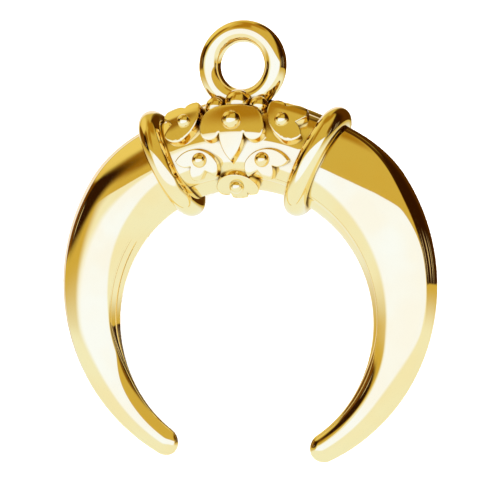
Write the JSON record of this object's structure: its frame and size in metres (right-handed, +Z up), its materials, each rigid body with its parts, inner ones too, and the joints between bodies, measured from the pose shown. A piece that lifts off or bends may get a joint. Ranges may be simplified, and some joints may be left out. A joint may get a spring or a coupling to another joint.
{
  "type": "crescent moon charm",
  "caption": "Downward crescent of domed horns with a closed hanging loop, rings bound round the shoulders, and raised bossed flowers and beads on the collar.",
  "frame": {"origin": "centre of the bounding box on the surface that the charm lies on", "axes": "+X to the charm's right seen from the front, +Y towards the hanging loop, +Z up out of the front; lying on the backs of both rings and both tips"},
  "size_m": [0.017, 0.0188, 0.0043],
  "materials": {
    "gold": "mirror-polished yellow gold plate"
  },
  "bodies": {
    "root": {"crescent_charm": "gold"}
  },
  "joints": []
}
